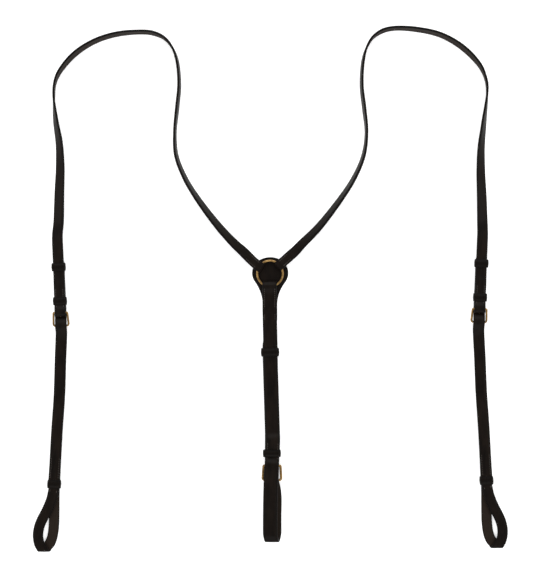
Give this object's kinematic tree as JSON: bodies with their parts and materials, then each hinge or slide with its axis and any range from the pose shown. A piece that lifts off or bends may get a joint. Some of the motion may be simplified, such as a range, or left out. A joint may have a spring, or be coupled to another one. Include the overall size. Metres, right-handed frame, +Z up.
{
  "type": "martingale",
  "caption": "Breastplate martingale of flat leather straps: ring with teardrop guard, neck straps buckled to looped side straps, and a chest strap that buckles back as a girth loop.",
  "frame": {"origin": "middle of the footprint, on the surface that the martingale lies on", "axes": "+Y from the chest strap's girth loop towards the neck straps' arches, +X to the right, +Z up from the surface"},
  "size_m": [0.6491, 0.7188, 0.016],
  "materials": {
    "strap_leather": "waxed dark havana leather, satin",
    "trim_leather": "thin waxed dark leather, satin",
    "brass": "dull antique brass"
  },
  "bodies": {
    "chest": {"ring_guard": "strap_leather", "chest_strap": "strap_leather", "girth_chape": "strap_leather", "girth_fixed_keeper": "trim_leather"},
    "ring": {"chest_ring": "brass"},
    "girth_runner": {"girth_runner_keeper": "trim_leather"},
    "girth_frame": {"girth_buckle_frame": "brass"},
    "girth_tongue": {"girth_buckle_tongue": "brass"},
    "left_side": {"left_neck_strap": "strap_leather", "left_fixed_keeper": "trim_leather", "left_loop_strap": "strap_leather", "left_loop_keeper": "trim_leather"},
    "left_runner": {"left_runner_keeper": "trim_leather"},
    "left_frame": {"left_buckle_frame": "brass"},
    "left_tongue": {"left_buckle_tongue": "brass"},
    "right_side": {"right_neck_strap": "strap_leather", "right_fixed_keeper": "trim_leather", "right_loop_strap": "strap_leather", "right_loop_keeper": "trim_leather"},
    "right_runner": {"right_runner_keeper": "trim_leather"},
    "right_frame": {"right_buckle_frame": "brass"},
    "right_tongue": {"right_buckle_tongue": "brass"}
  },
  "joints": [
    {"name": "ring_spin", "type": "hinge", "parent": "chest", "child": "ring", "pos_m": [0, 0.0205, 0.0067], "axis": [0, 0, 1], "continuous": true},
    {"name": "left_swing", "type": "hinge", "parent": "chest", "child": "left_side", "pos_m": [0, 0.0205, 0.0067], "axis": [0, 0, 1], "range_deg": [-18, 35]},
    {"name": "right_swing", "type": "hinge", "parent": "chest", "child": "right_side", "pos_m": [0, 0.0205, 0.0067], "axis": [0, 0, 1], "range_deg": [-35, 18]},
    {"name": "girth_runner_slide", "type": "slide", "parent": "chest", "child": "girth_runner", "axis": [-0.018, 0.9998, 0], "range_m": [-0.01, 0.01]},
    {"name": "girth_frame_tilt", "type": "hinge", "parent": "chest", "child": "girth_frame", "pos_m": [0.00278, -0.2418, 0.009], "axis": [1, 0, 0], "range_deg": [-1, 3]},
    {"name": "girth_tongue_swing", "type": "hinge", "parent": "girth_frame", "child": "girth_tongue", "pos_m": [0.00278, -0.2418, 0.009], "axis": [1, 0, 0], "range_deg": [0, 6]},
    {"name": "left_runner_slide", "type": "slide", "parent": "left_side", "child": "left_runner", "axis": [-0.0419, 0.9991, 0], "range_m": [-0.008, 0.012]},
    {"name": "left_frame_tilt", "type": "hinge", "parent": "left_side", "child": "left_frame", "pos_m": [-0.2863, -0.0329, 0.0085], "axis": [0.9991, 0.0419, 0], "range_deg": [-1, 3]},
    {"name": "left_tongue_swing", "type": "hinge", "parent": "left_frame", "child": "left_tongue", "pos_m": [-0.2863, -0.0329, 0.0085], "axis": [0.9991, 0.0419, 0], "range_deg": [0, 6]},
    {"name": "right_runner_slide", "type": "slide", "parent": "right_side", "child": "right_runner", "axis": [0.0419, 0.9991, 0], "range_m": [-0.008, 0.012]},
    {"name": "right_frame_tilt", "type": "hinge", "parent": "right_side", "child": "right_frame", "pos_m": [0.2863, -0.0279, 0.0085], "axis": [0.9991, -0.0419, 0], "range_deg": [-1, 3]},
    {"name": "right_tongue_swing", "type": "hinge", "parent": "right_frame", "child": "right_tongue", "pos_m": [0.2863, -0.0279, 0.0085], "axis": [0.9991, -0.0419, 0], "range_deg": [0, 6]}
  ]
}
